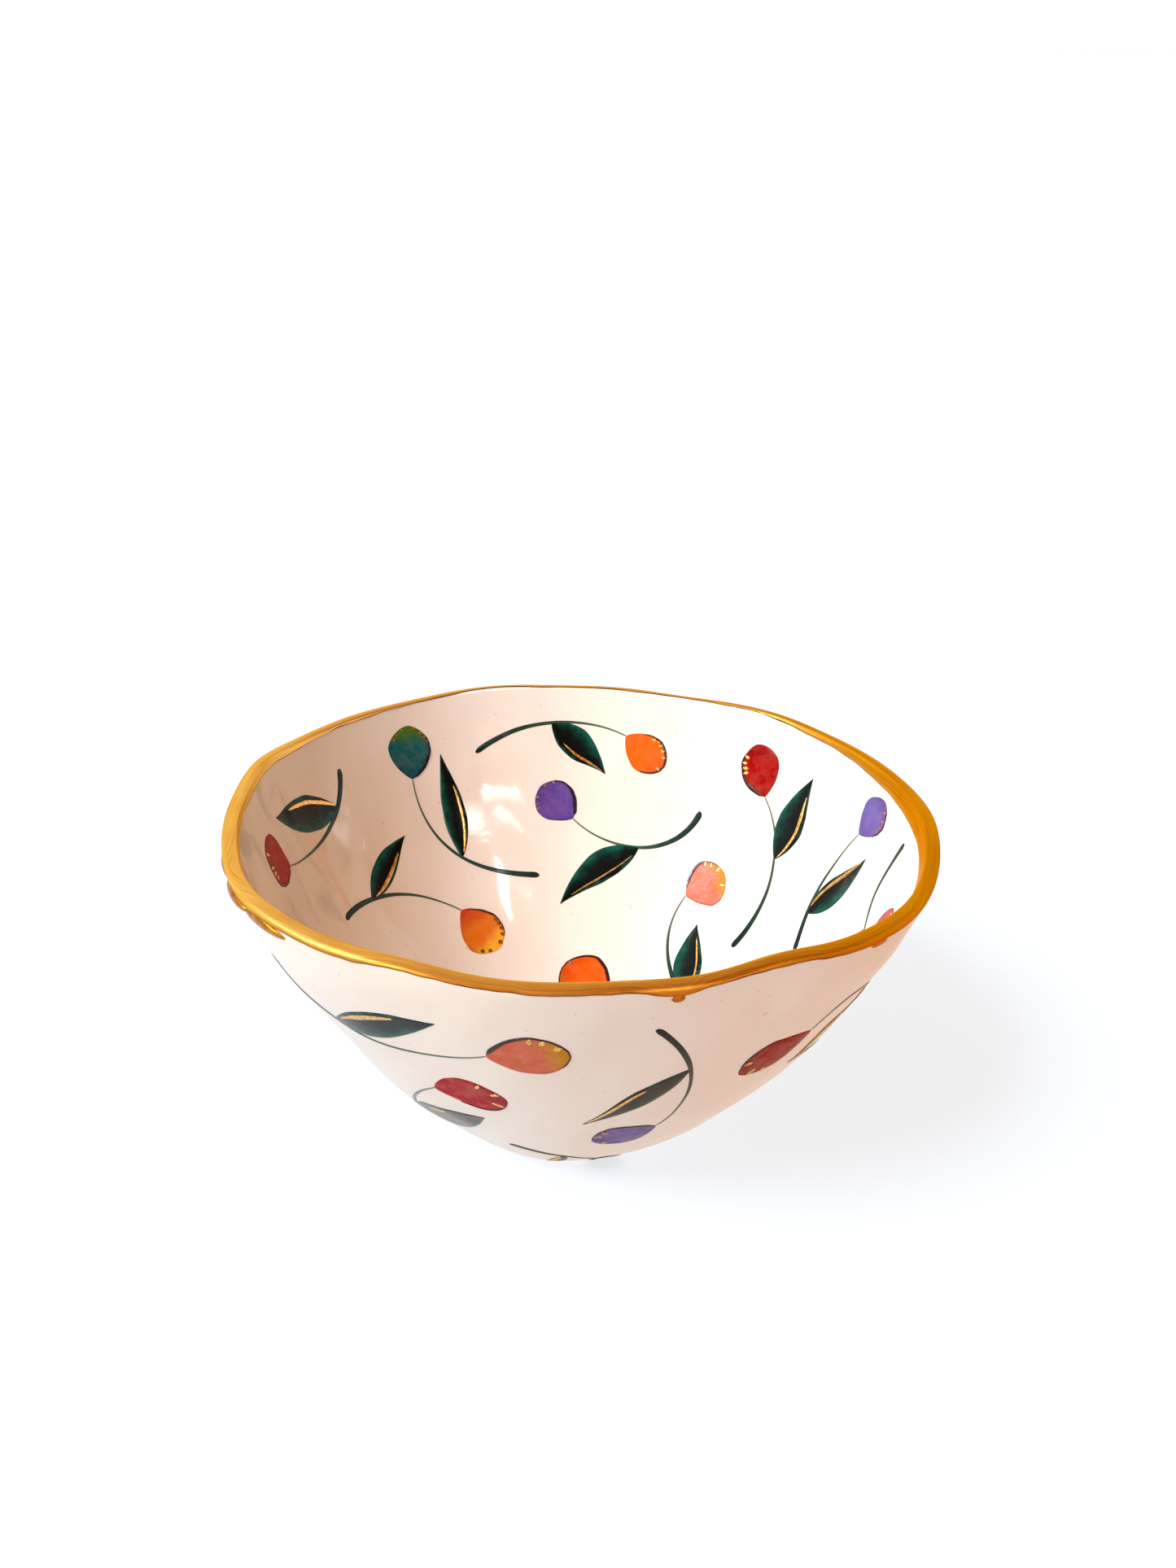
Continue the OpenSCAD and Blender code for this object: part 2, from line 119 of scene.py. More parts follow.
SPRIGS = [
    Sprig("inner_teal", IN, 129.5, 16.6, "teal",
          (8, 12.5, 11), (189.5, 41, -100), (0.55, 12, 25, 5.8, -20), 1, 1),
    Sprig("inner_orange", IN, 81, 10, "orange",
          (124, 11.5, 9.5), (290, 37.5, -52), (0.49, 127, 18.5, 6.8, 0), -1, 1),
    Sprig("inner_violet", IN, 92, 30.5, "violet",
          (314, 11, 10), (135, 37, -110), (0.47, 241, 24.3, 7, -15), 1, -1),
    Sprig("inner_red", IN, 47, 17.5, "red",
          (329, 12.5, 10), (127, 37.5, 78), (0.4, 3, 20.5, 7.6, 0), -1, 1),
    Sprig("inner_lilac", IN, 19, 13.8, "lilac",
          (20, 10, 9.5), (201, 30, -55), (0.71, 24, 19.5, 6.6, 0), 1, -1),
    Sprig("inner_peach", IN, 58, 45, "peach",
          (45, 11, 11), (200, 27, -90), (0.97, 342, 17, 7.5, 0), -1, 1),
    Sprig("inner_coral", IN, 74, 73, "coral",
          (302, 14, 11), (130, 14, 20), (0.6, 60, 10, 4, 0), 1, 1),
    Sprig("inner_scarlet", IN, 174, 19.3, "scarlet",
          (308, 12, 11.5), (117, 36.5, -92), (0.74, 278, 22, 8.5, 10), 1, 1),
    Sprig("inner_amber", IN, 127.3, 49, "amber",
          (153, 12.5, 11), (311, 37.5, -46), (0.7, 59, 17.8, 6.5, -10), -1, 1),
    Sprig("inner_rose", IN, 346.5, 24.5, "rose",
          (350, 12, 10), (257.5, 30.5, 112), (0.3, 170, 14, 5, 0), 1, -1),
    Sprig("front_coral", IN, 345, 45, "coral",
          (30, 11, 10), (215, 24, 28), (0.95, 330, 16, 6, 0), 1, 1),
    Sprig("front_red", IN, 318, 20, "red",
          (345, 12, 10.5), (175, 36, 70), (0.5, 20, 20, 6, 0), -1, 1),
    Sprig("front_teal", IN, 282, 14, "teal",
          (60, 12, 10.5), (230, 38, -50), (0.45, 140, 20, 6, 0), 1, 1),
    Sprig("front_violet", IN, 262, 40, "violet",
          (120, 11, 10), (290, 30, -50), (0.5, 30, 18, 6, 0), -1, 1),
    Sprig("front_amber", IN, 225, 18, "amber",
          (330, 12, 11), (160, 38, -70), (0.5, 300, 20, 6, 0), 1, -1),
    Sprig("outer_peach", OUT, 256.7, 18.5, "peach",
          (78, 15.3, 11.5), (240, 55, 68), (0.63, 62.5, 27.5, 8, 10), -1, -1),
    Sprig("outer_crimson", OUT, 242.5, 37.5, "crimson",
          (78, 15.7, 12), (232, 28, -45), (0.97, 57, 24, 11, 10), 1, -1),
    Sprig("outer_lilac", OUT, 290, 48.8, "lilac",
          (235, 12.8, 12), (21, 43, -68), (0.58, 222, 25, 6.2, -10), 1, 1),
    Sprig("outer_red", OUT, 315.5, 23.4, "red",
          (233, 15.5, 12), (33, 20, 85), (0.95, 150, 16, 5, 0), 1, 1),
    Sprig("outer_orange", OUT, 350, 38, "orange",
          (100, 12, 11), (265, 30, 15), (0.95, 28, 18, 6, 0), -1, -1),
    Sprig("outer_teal", OUT, 280, 71, "teal",
          (150, 7, 7), (310, 21, -25), (0.4, 200, 7, 3, 0), 1, 1),
    Sprig("back_amber", OUT, 22, 20, "amber",
          (330, 13, 11), (160, 40, -60), (0.5, 40, 22, 6, 0), 1, 1),
    Sprig("back_teal", OUT, 62, 32, "teal",
          (40, 13, 11), (215, 42, 55), (0.5, 300, 22, 6, 0), -1, 1),
    Sprig("back_red", OUT, 108, 18, "red",
          (75, 14, 11), (250, 44, -60), (0.5, 160, 22, 6, 0), 1, -1),
    Sprig("back_violet", OUT, 136, 38, "violet",
          (320, 13, 11), (130, 36, 50), (0.5, 20, 22, 6, 0), 1, 1),
    Sprig("back_rose", OUT, 170, 20, "rose",
          (300, 13, 11), (110, 40, 80), (0.5, 190, 22, 6, 0), -1, 1),
]

# Dark line round a head, where -1 is the neck by the left, 0 the tip and 1 the neck by the right:
# from, to, width and where along it the line is thickest
LINES = {
    "inner_teal": (0.97, 0.3, 0.95, 0.3),
    "inner_orange": (-0.75, 0.35, 0.6, 0.6),
    "inner_violet": (0.97, 0.1, 0.9, 0.3),
    "inner_red": (-0.98, -0.1, 0.95, 0.3),
    "inner_lilac": (0.7, 0.05, 0.45, 0.5),
    "inner_peach": (-0.92, -0.05, 0.75, 0.3),
    "inner_coral": (0.96, -0.5, 0.75, 0.2),
    "inner_scarlet": (-0.95, -0.2, 0.5, 0.5),
    "inner_amber": (-0.95, -0.1, 0.5, 0.4),
    "outer_peach": (-0.98, 0.18, 0.95, 0.08),
    "outer_crimson": (0.75, 0.05, 0.4, 0.6),
    "outer_lilac": (0.96, 0.2, 0.5, 0.4),
    "outer_red": (0.6, 0.05, 0.45, 0.7),
}

# Gold touches on a head's edge: from, to, count, length, width and share of brown
TICKS = {
    "inner_teal": (-0.22, 0.3, 7, 0.7, 0.75, 0.8),
    "inner_orange": (-0.5, 0.02, 6, 0.9, 0.8, 0.1),
    "inner_violet": (-0.3, 0.12, 5, 0.8, 0.7, 0.6),
    "inner_red": (-0.46, -0.14, 4, 1.3, 0.75, 0.0),
    "inner_lilac": (0.5, 0.08, 4, 1.2, 0.6, 0.3),
    "inner_peach": (-0.3, 0.08, 4, 1.4, 0.7, 0.2),
    "inner_coral": (-0.3, 0.02, 4, 1.3, 0.6, 0.0),
    "inner_scarlet": (-0.24, 0.0, 4, 1.8, 0.7, 0.0),
    "inner_amber": (-0.42, 0.16, 7, 0.9, 1.0, 0.9),
    "outer_peach": (-0.36, -0.05, 3, 1.7, 1.1, 0.0),
    "outer_crimson": (-0.2, 0.14, 3, 2.2, 0.8, 0.0),
    "outer_lilac": (0.3, -0.05, 3, 1.6, 0.5, 0.4),
    "outer_red": (-0.25, 0.1, 3, 1.8, 0.9, 0.2),
}

# Gold band near one edge of a leaf: from, to and width
LEAF_GOLD = {
    "inner_teal": (0.05, 0.68, 0.75),
    "inner_orange": (0.3, 0.93, 0.6),
    "inner_violet": (0.1, 0.85, 0.35),
    "inner_red": (0.03, 0.78, 0.8),
    "inner_lilac": (0.08, 0.93, 0.9),
    "inner_peach": (0.05, 0.82, 0.55),
    "inner_scarlet": (0.02, 0.72, 1.1),
    "inner_amber": (0.08, 0.76, 0.95),
    "outer_peach": (0.12, 0.66, 1.15),
    "outer_crimson": (0.36, 0.58, 0.9),
    "outer_lilac": (0.35, 0.95, 0.8),
}

# Reach of the gold from the two shoulders of the lip: azimuth, spread, outside, inside
# The means hold all round, and each row adds to them near its azimuth
GOLD_OUT = -0.45
GOLD_IN = -0.3
GOLD_REACH = [
    (0, 35, 0.5, 3.5),
    (90, 50, 0.6, -0.5),
    (180, 38, 0.4, 1.6),
    (206, 12, 2.2, 0.3),
    (228, 12, 0.6, 0.2),
    (284.5, 4, 1.2, 0),
    (322, 14, 1.1, 0),
]
LIP_OVER = LIP_W + 0.8 * LIP_H
GOLD_T = 0.2

# Drops and lumps of gold: azimuth, down, width, length, height
GOLD_DROPS = [
    (284.5, 1.2, 2.4, 2.1, 0.5),
    (320, 0.9, 5, 1.6, 0.4),
    (219, 1.5, 13, 2.8, 0.8),
    (209, 1.6, 13, 3.1, 1.1),
    (199, 1.5, 11, 2.8, 0.9),
    (64, 1.2, 2, 2, 0.4),
]

# ---------------------------------------------------------------- the wall's surface


def bell(x):
    return np.exp(-x * x)


def turn(a, b):
    return (a - b + 180) % 360 - 180


def sind(a):
    return np.sin(np.radians(a))


def cosd(a):
    return np.cos(np.radians(a))


def rim_shift(az):
    """Outward and upward shift of the rim."""
    out = 0.25 * sind(7 * az + 40)
    up = 0.15 * sind(13 * az + 100)
    for at, spread, push_out, push_up in RIM_PUSHES:
        near = bell(turn(az, at) / spread)
        out = out + near * push_out
        up = up + near * push_up
    return out, up


def dent(az, q):
    """Depth of the dents at a share q of the way up."""
    depth = 0.0
    for at, height, spread, rise, deep in WALL_DENTS:
        depth = depth + deep * bell(turn(az, at) / spread) * bell((q - height) / rise)
    return depth


def section(q):
    """Place on the section at a share q of the way up."""
    q = q[..., None]
    return 3 * q * (1 - q) ** 2 * SECTION[1] + 3 * q * q * (1 - q) * SECTION[2] + q**3 * SECTION[3]


def section_slope(q):
    q = q[..., None]
    return (3 * (1 - q) ** 2 * SECTION[1] + 6 * q * (1 - q) * (SECTION[2] - SECTION[1])
            + 3 * q * q * (SECTION[3] - SECTION[2]))


def thickness(q):
    """Thickness of the wall, or of the floor, whose middle is at q = -1."""
    dish = np.where(q < 0, FLOOR_DISH * (1 - (1 + q) ** 2), 0)
    return LIP_W + (FLOOR_T - LIP_W) * np.minimum(1, 1 - q) ** 2 - dish


def wall_frame(az, q, wobble=1.0):
    """Outside of the wall as radius and height, and its outward direction, for a share of the wobble."""
    az, q = np.broadcast_arrays(np.asarray(az, float), np.asarray(q, float))
    u = np.maximum(0, q)
    out, up = rim_shift(az)
    reach = RIM_R - FOOT_R + wobble * out
    rise = RIM_H - FOOT_T + wobble * up
    at, slope = section(u), section_slope(u)
    r = np.where(q < 0, FOOT_R * (1 + q), FOOT_R + reach * at[..., 0] - wobble * dent(az, q))
    z = FOOT_T + rise * at[..., 1]
    run = np.where(q < 0, 1, reach * slope[..., 0])
    climb = np.where(q < 0, 0, rise * slope[..., 1])
    size = np.hypot(run, climb)
    return r, z, climb / size, -run / size


def spin(az, r, z):
    return np.stack([r * cosd(az), r * sind(az), z], axis=-1)


def even_path(side):
    """Distance down from the lip, q and radius along an even wall."""
    q = np.linspace(1, -1, 401)
    r, z, nr, nz = wall_frame(0.0 * q, q, 0.0)
    if side == IN:
        r, z = r - nr * thickness(q), z - nz * thickness(q)
    down = np.concatenate([[0], np.cumsum(np.hypot(np.diff(r), np.diff(z)))])
    return down, q, r


PATHS = {OUT: even_path(OUT), IN: even_path(IN)}


def down_q(side, down):
    return np.interp(down, PATHS[side][0], PATHS[side][1])


def down_r(side, down):
    return np.interp(down, PATHS[side][0], PATHS[side][2])


def q_down(side, q):
    return np.interp(-q, -PATHS[side][1], PATHS[side][0])


# Soft unevenness left by the fingers: plane waves in fixed random directions
WAVES = []
for seed, count, length, depth in ((3, 9, 26.0, 0.055), (8, 12, 11.0, 0.022)):
    draw = np.random.default_rng(seed)
    ways = draw.normal(size=(count, 3))
    ways /= np.linalg.norm(ways, axis=1)[:, None]
    lengths = length * draw.uniform(0.75, 1.4, count)
    WAVES.append((ways * (2 * np.pi / lengths)[:, None], draw.uniform(0, 2 * np.pi, count), depth))


def finger_marks(points, side):
    """Height of the unevenness at points on one side of the wall."""
    height = 0.0
    for ways, phase, depth in WAVES:
        height = height + depth * np.sin(points @ ways.T + phase + 2.0 * side).sum(axis=-1)
    return height


def skin(side, az, q, lift):
    """Points on one side of the wall, lifted off the glaze."""
    az, q, lift = np.broadcast_arrays(*(np.asarray(v, float) for v in (az, q, lift)))
    r, z, nr, nz = wall_frame(az, q)
    if side == IN:
        r, z = r - nr * thickness(q), z - nz * thickness(q)
    down = q_down(side, q)
    # The finger marks fade out at the lip and, on the outside, at the foot
    calm = np.clip((down - 1.5) / 6, 0, 1)
    if side == OUT:
        calm = calm * np.clip((q - 0.02) / 0.15, 0, 1)
    off = lift + calm * finger_marks(spin(az, r, z), side)
    return spin(az, r + side * nr * off, z + side * nz * off)


def lip(az, phi, lift):
    """Points on the rounded lip, from phi = 0 on the outside to 180 on the inside."""
    az, phi, lift = np.broadcast_arrays(*(np.asarray(v, float) for v in (az, phi, lift)))
    r, z, nr, nz = wall_frame(az, np.ones_like(az))
    across = np.sign(cosd(phi)) * np.abs(cosd(phi)) ** 0.7
    over = np.maximum(0, sind(phi)) ** 0.7
    side = (LIP_W / 2 + lift) * across - LIP_W / 2
    up = (LIP_H + lift) * over
    return spin(az, r + nr * side - nz * up, z + nz * side + nr * up)


def on_wall(side, az, down, lift):
    """Points at a distance down the wall from the lip."""
    return skin(side, az, down_q(side, down), lift)


# ---------------------------------------------------------------- meshes


def make_piece(name, points, faces, slot, *nodes, values=None):
    """Mesh object from points in millimetres, which rides on the root and replaces CAD nodes."""
    mesh = bpy.data.meshes.new(name)
    mesh.from_pydata((np.asarray(points) * MM).tolist(), [], faces)
    mesh.polygons.foreach_set("use_smooth", [True] * len(mesh.polygons))
    for key, data in (values or {}).items():
        layer = mesh.attributes.new(key, "FLOAT", "POINT")
        layer.data.foreach_set("value", np.asarray(data, dtype=np.float32).ravel())
    mesh.update()
    piece = bpy.data.objects.new(name, mesh)
    bpy.context.scene.collection.objects.link(piece)
    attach(piece, "root")
    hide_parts(*nodes)
    return piece


def grid_faces(rows, cols, start=0, wrap_cols=False, wrap_rows=False, flip=False):
    """Quads over a grid of points."""
    faces = []
    for i in range(rows if wrap_rows else rows - 1):
        for j in range(cols if wrap_cols else cols - 1):
            a = start + i * cols + j
            b = start + i * cols + (j + 1) % cols
            c = start + ((i + 1) % rows) * cols + (j + 1) % cols
            d = start + ((i + 1) % rows) * cols + j
            faces.append((a, d, c, b) if flip else (a, b, c, d))
    return faces


def slab_faces(rows, cols, start, flip):
    """Closed slab between an upper sheet and a lower one that follows it."""
    size = rows * cols
    edge = [i * cols for i in range(rows)]
    edge += [(rows - 1) * cols + j for j in range(1, cols)]
    edge += [i * cols + cols - 1 for i in range(rows - 2, -1, -1)]
    edge += [j for j in range(cols - 2, 0, -1)]
    faces = grid_faces(rows, cols, start, flip=not flip)
    faces += grid_faces(rows, cols, start + size, flip=flip)
    for a, b in zip(edge, edge[1:] + edge[:1]):
        quad = (start + a, start + b, start + b + size, start + a + size)
        faces.append(quad if flip else quad[::-1])
    return faces


def hand_noise(name, x):
    """Smooth noise between about -1 and 1 along x, the same each run for one name."""
    draw = np.random.default_rng(zlib.crc32(name.encode()))
    out = np.zeros_like(np.asarray(x, float))
    for k in range(1, 6):
        out += np.sin(2 * np.pi * k * x + draw.uniform(0, 2 * np.pi)) * draw.uniform(0.4, 1) / k
    return out / 1.6


# ---------------------------------------------------------------- brush marks

# Enamel and gold: how deep they are bedded in the glaze, and how far each mark stands off what is
# under it. Lines and touches lie on heads and leaves.
BEDDED = 0.06
HEAD_T = 0.16
STEM_T = 0.11
LEAF_T = 0.14
LINE_T = 0.1
LINE_LIFT = 0.1
LEAF_GOLD_LIFT = 0.12
TICK_T = 0.14
TICK_LIFT = 0.13

# Share by which a mark is thicker along its edge than in the middle
BEAD = 0.25
RIBBON_COLS = 7


def along(start, heading, length, bend, t):
    """Points along an arc on a flat drawing, x to the viewer's right and y up the wall."""
    if abs(bend) < 1:
        x = start[0] + length * t * sind(heading)
        y = start[1] + length * t * cosd(heading)
    else:
        radius = length / math.radians(bend)
        x = start[0] + radius * (cosd(heading) - cosd(heading + bend * t))
        y = start[1] + radius * (sind(heading + bend * t) - sind(heading))
    return x, y


def petal(t):
    """Width of a tulip head from its neck to its tip, as a share of the widest."""
    return np.sin(np.pi * t**1.25) ** 0.6


def blade(t):
    """Width of a leaf from its base to its point."""
    return np.sin(np.pi * t**0.78) ** 1.05


def taper(t):
    """Width of a stem from the neck of its head to its thick end."""
    return (0.22 + 0.78 * t**1.3) * np.minimum(1, (1 - t) / 0.03 + 0.02) ** 0.4


class Stroke(NamedTuple):
    """Brush stroke on a flat drawing. Its name seeds its uneven edges, and a hook turns its tip aside."""

    name: str
    start: tuple
    heading: float
    length: float
    bend: float
    width: float
    shape: Callable
    rough: float
    hook: float = 0.0

    def place(self, t, u):
        """Places at a share t along the stroke and a share u across it."""
        left = hand_noise(self.name + "left", t)
        right = hand_noise(self.name + "right", t)
        half = self.shape(t) * self.width / 2 * (1 + self.rough * np.where(u < 0, left, right))
        x, y = along(self.start, self.heading, self.length, self.bend, t)
        turned = self.heading + self.bend * t
        over = u * half + self.hook * t**5
        return x + over * cosd(turned), y - over * sind(turned)

    def grid(self, rows, cols):
        """Grid over the stroke: x, y, share across and share along."""
        t = 0.002 + 0.996 * (1 - np.cos(np.linspace(0, np.pi, rows))) / 2
        u = np.sin(np.linspace(-np.pi / 2, np.pi / 2, cols))
        tt, uu = np.meshgrid(t, u, indexing="ij")
        x, y = self.place(tt, uu)
        return x, y, uu, tt


class Marks:
    """Closed slabs of enamel or gold laid on the wall, gathered into one mesh."""

    def __init__(self):
        self.points, self.faces = [], []
        self.along, self.across, self.tone = [], [], []
        self.size = 0

    def add(self, anchor, x, y, across, t, relief, tone=0.0):
        """x and y are grids of rows along the mark by columns across it, drawn from its anchor."""
        side, az0, down0 = anchor
        rows, cols = x.shape
        down = down0 - y
        az = az0 + side * np.degrees(x / down_r(side, down))
        for lift in (relief, np.full_like(x, -BEDDED)):
            self.points.append(on_wall(side, az, down, lift).reshape(-1, 3))
            self.along.append(t.ravel())
            self.across.append(across.ravel())
            self.tone.append(np.full(rows * cols, tone))
        self.faces += slab_faces(rows, cols, self.size, flip=side == OUT)
        self.size += 2 * rows * cols

    def piece(self, name, slot, *nodes):
        values = {"t": np.concatenate(self.along), "u": np.concatenate(self.across),
                  "tone": np.concatenate(self.tone)}
        return make_piece(name, np.concatenate(self.points), self.faces, slot, *nodes, values=values)


def ribbon(x, y, width):
    """Grid of a band of the given widths along a drawn line."""
    dx, dy = np.gradient(x), np.gradient(y)
    size = np.maximum(np.hypot(dx, dy), 1e-9)
    u = np.sin(np.linspace(-np.pi / 2, np.pi / 2, RIBBON_COLS))
    over = width[:, None] / 2 * u[None, :]
    tt, uu = np.meshgrid(np.linspace(0, 1, len(x)), u, indexing="ij")
    return x[:, None] + over * (dy / size)[:, None], y[:, None] - over * (dx / size)[:, None], uu, tt


def pillow(u, t, height):
    """Height of a fired enamel mark, a little thicker just inside its edge."""
    edge = np.clip(1 - np.abs(u) ** 6, 0, 1) ** 0.6
    ends = np.clip(np.minimum(t, 1 - t) / 0.03, 0, 1) ** 0.5
    return height * edge * ends * (1 - BEAD + BEAD * np.abs(u) ** 3)


def head_stroke(sprig):
    heading, length, width = sprig.head
    return Stroke(sprig.name, (0, 0), heading, length, 0, width, petal, 0.04)


def stem_stroke(sprig):
    return Stroke(sprig.name + "stem", (0, 0), *sprig.stem, STEM_W, taper, 0.14)


def leaf_stroke(sprig):
    place, heading, length, width, bend = sprig.leaf
    start = along((0, 0), *sprig.stem, place)
    hook = sprig.gold_side * 0.16 * width
    return Stroke(sprig.name + "leaf", start, heading, length, bend, width, blade, 0.06, hook)


def head_edge(sprig, s, inset):
    """Places just inside a head's edge, from s = -1 at the neck by the left to 0 at the tip and 1."""
    s = np.asarray(s, float)
    t = np.clip(1 - np.abs(s), 0.006, 0.994)
    return head_stroke(sprig).place(t, np.sign(s + 1e-9) * (1 - inset))


def build_head(sprig):
    marks = Marks()
    x, y, u, t = head_stroke(sprig).grid(46, 21)
    marks.add(sprig.anchor, x, y, u, t, pillow(u, t, HEAD_T))
    piece = marks.piece(sprig.name + "_head_look", sprig.paint + "_enamel", sprig.name + "_head")
    piece.data.materials.append(head_material(sprig.paint, sprig.side))


def build_greenery(sprig):
    marks = Marks()
    x, y, u, t = stem_stroke(sprig).grid(80, 9)
    marks.add(sprig.anchor, x, y, u, t, pillow(u, t, STEM_T))
    x, y, u, t = leaf_stroke(sprig).grid(50, 19)
    marks.add(sprig.anchor, x, y, u * sprig.gold_side, t, pillow(u, t, LEAF_T), tone=1.0)
    piece = marks.piece(sprig.name + "_greenery_look", "green_enamel", sprig.name + "_greenery")
    piece.data.materials.append(green_material())


def sprigs_on(side):
    return [sprig for sprig in SPRIGS if sprig.side == side]


def build_dark_lines(side, name):
    marks = Marks()
    share = np.linspace(0, 1, 70)
    for sprig in sprigs_on(side):
        usual = (0.95 * sprig.line_side, 0.2 * sprig.line_side, 0.8, 0.5)
        first, last, thick, middle = LINES.get(sprig.name, usual)
        x, y = head_edge(sprig, np.linspace(first, last, 70), 0.04)
        swell = np.exp(-(((share - middle) / 0.38) ** 2))
        width = thick * (0.3 + 0.7 * swell) * (1 + 0.3 * hand_noise(sprig.name + "line", share))
        width = width * np.clip(np.minimum(share, 1 - share) / 0.06 + 0.08, 0, 1)
        gx, gy, u, t = ribbon(x, y, width)
        tone = list(HEADS).index(sprig.paint)
        marks.add(sprig.anchor, gx, gy, u, t, LINE_LIFT + pillow(u, t, LINE_T), tone=tone)
    piece = marks.piece(name + "_look", "night_enamel", name)
    piece.data.materials.append(dark_material())


def add_ticks(marks, sprig):
    """Gold touches on the edge of a head, each drawn inwards."""
    usual = (0.35 * sprig.line_side, 0.02, 3, 1.5, 0.8, 0.0)
    first, last, count, length, width, tone = TICKS.get(sprig.name, usual)
    middle_x, middle_y = head_stroke(sprig).place(0.5, 0.0)
    for k, s in enumerate(np.linspace(first, last, count)):
        x, y = head_edge(sprig, s, 0.06)
        inwards = math.degrees(math.atan2(middle_x - x, middle_y - y))
        name = f"{sprig.name}tick{k}"
        size = 1 + 0.25 * float(hand_noise(name, 0.3))
        start = (float(x), float(y))
        stroke = Stroke(name, start, inwards, length * size, 0, width * size, petal, 0.12)
        x, y, u, t = stroke.grid(14, 9)
        marks.add(sprig.anchor, x, y, u, t, TICK_LIFT + pillow(u, t, TICK_T), tone=tone)


def build_gold_lines(side, name):
    marks = Marks()
    share = np.linspace(0, 1, 60)
    for sprig in sprigs_on(side):
        first, last, thick = LEAF_GOLD.get(sprig.name, (0.1, 0.7, 0.9))
        x, y = leaf_stroke(sprig).place(first + (last - first) * share, sprig.gold_side * 0.6)
        width = thick * np.sin(np.pi * np.clip(share, 0.004, 0.996)) ** 0.45
        width = width * (1 + 0.22 * hand_noise(sprig.name + "gold", share))
        gx, gy, u, t = ribbon(x, y, width)
        marks.add(sprig.anchor, gx, gy, u, t, LEAF_GOLD_LIFT + pillow(u, t, LINE_T))
        add_ticks(marks, sprig)
    piece = marks.piece(name + "_look", "gold_lustre", name)
    piece.data.materials.append(line_gold_material())


# ---------------------------------------------------------------- bowl, foot and gold


# Painted shade: the glaze is darkened and warmed towards one side, for the warm shade inside at the left:
# azimuth, distance from the axis where that starts and the further distance over which it grows, and its
# share on the outside
PAINTED_SHADE_SIDE = 200
PAINTED_SHADE_FROM = 12
PAINTED_SHADE_OVER = 34
PAINTED_SHADE_OUTSIDE = 0.4


def build_body():
    turns = 480
    az = np.arange(turns) * 360 / turns
    wall = np.linspace(0, 1, 78)
    rings = [skin(OUT, az, q, 0) for q in np.linspace(-0.96, -0.04, 8)]
    rings += [skin(OUT, az, q, 0) for q in wall]
    rings += [lip(az, phi, 0) for phi in np.linspace(0, 180, 15)[1:-1]]
    outer = len(rings)
    rings += [skin(IN, az, q, 0) for q in wall[::-1]]
    rings += [skin(IN, az, q, 0) for q in np.linspace(-0.04, -0.97, 14)]
    middles = np.array([skin(OUT, 0.0, -1.0, 0), skin(IN, 0.0, -1.0, 0)])
    points = np.concatenate(rings + [middles])
    faces = grid_faces(len(rings), turns, wrap_cols=True)
    last = (len(rings) - 1) * turns
    under = len(rings) * turns
    faces += [(under, (i + 1) % turns, i) for i in range(turns)]
    faces += [(under + 1, last + i, last + (i + 1) % turns) for i in range(turns)]
    # Painted shade: share of the warm brown darkening, which grows towards one side and is weaker on the
    # outside
    lean = points[:, 0] * cosd(PAINTED_SHADE_SIDE) + points[:, 1] * sind(PAINTED_SHADE_SIDE)
    warm = np.clip((lean - PAINTED_SHADE_FROM) / PAINTED_SHADE_OVER, 0, 1)
    warm[: outer * turns] *= PAINTED_SHADE_OUTSIDE
    piece = make_piece("porcelain_body_look", points, faces, "glazed_porcelain", "porcelain_body",
                       values={"warm": warm})
    piece.data.materials.append(porcelain_material())


def gold_reach(az):
    """Reach of the gold outside and inside, with the ragged edges of a brushed band."""
    out = GOLD_OUT + 0.12 * sind(11 * az) + 0.08 * sind(23 * az + 50) + 0.05 * sind(41 * az + 10)
    out = out + 0.04 * sind(67 * az) + 0.03 * sind(97 * az + 70)
    inside = GOLD_IN + 0.1 * sind(9 * az + 20) + 0.08 * sind(19 * az) + 0.04 * sind(37 * az + 10)
    inside = inside + 0.03 * sind(59 * az + 30)
    for at, spread, more_out, more_in in GOLD_REACH:
        near = bell(turn(az, at) / spread)
        out = out + near * more_out
        inside = inside + near * more_in
    return out, inside


def over_lip(az, path, lift):
    """Points along a path from the outer shoulder of the lip, over it and down the inside."""
    outside = on_wall(OUT, az, np.maximum(0, -path), lift)
    over = lip(az, 180 * np.clip(path / LIP_OVER, 0, 1), lift)
    inside = on_wall(IN, az, np.maximum(0, path - LIP_OVER), lift)
    path = path[..., None]
    return np.where(path < 0, outside, np.where(path <= LIP_OVER, over, inside))


def build_gold_rim():
    """Band whose sheets of points go over the lip on top and come back underneath."""
    turns, rows = 900, 40
    az = np.arange(turns) * 360 / turns
    reach_out, reach_in = gold_reach(az)
    sheets, from_out, from_in = [], [], []
    for k in list(range(rows)) + list(range(rows - 1, -1, -1)):
        share = k / (rows - 1)
        path = -reach_out + share * (reach_out + LIP_OVER + reach_in)
        upper = len(sheets) < rows
        edge = min(1, min(share, 1 - share) / 0.06)
        streak = 0.012 * sind(3 * az + 500 * share) + 0.008 * sind(17 * az + 900 * share)
        lift = (GOLD_T + streak) * (0.25 + 0.75 * math.sqrt(edge)) if upper else -GOLD_T / 2
        sheets.append(over_lip(az, path, lift))
        from_out.append(path + reach_out)
        from_in.append(LIP_OVER + reach_in - path)
    points = np.concatenate(sheets)
    faces = grid_faces(2 * rows, turns, wrap_cols=True, wrap_rows=True)
    values = {"from_out": np.concatenate(from_out), "from_in": np.concatenate(from_in)}
    piece = make_piece("gold_rim_look", points, faces, "gold_lustre", "gold_rim", values=values)
    piece.data.materials.append(rim_gold_material())


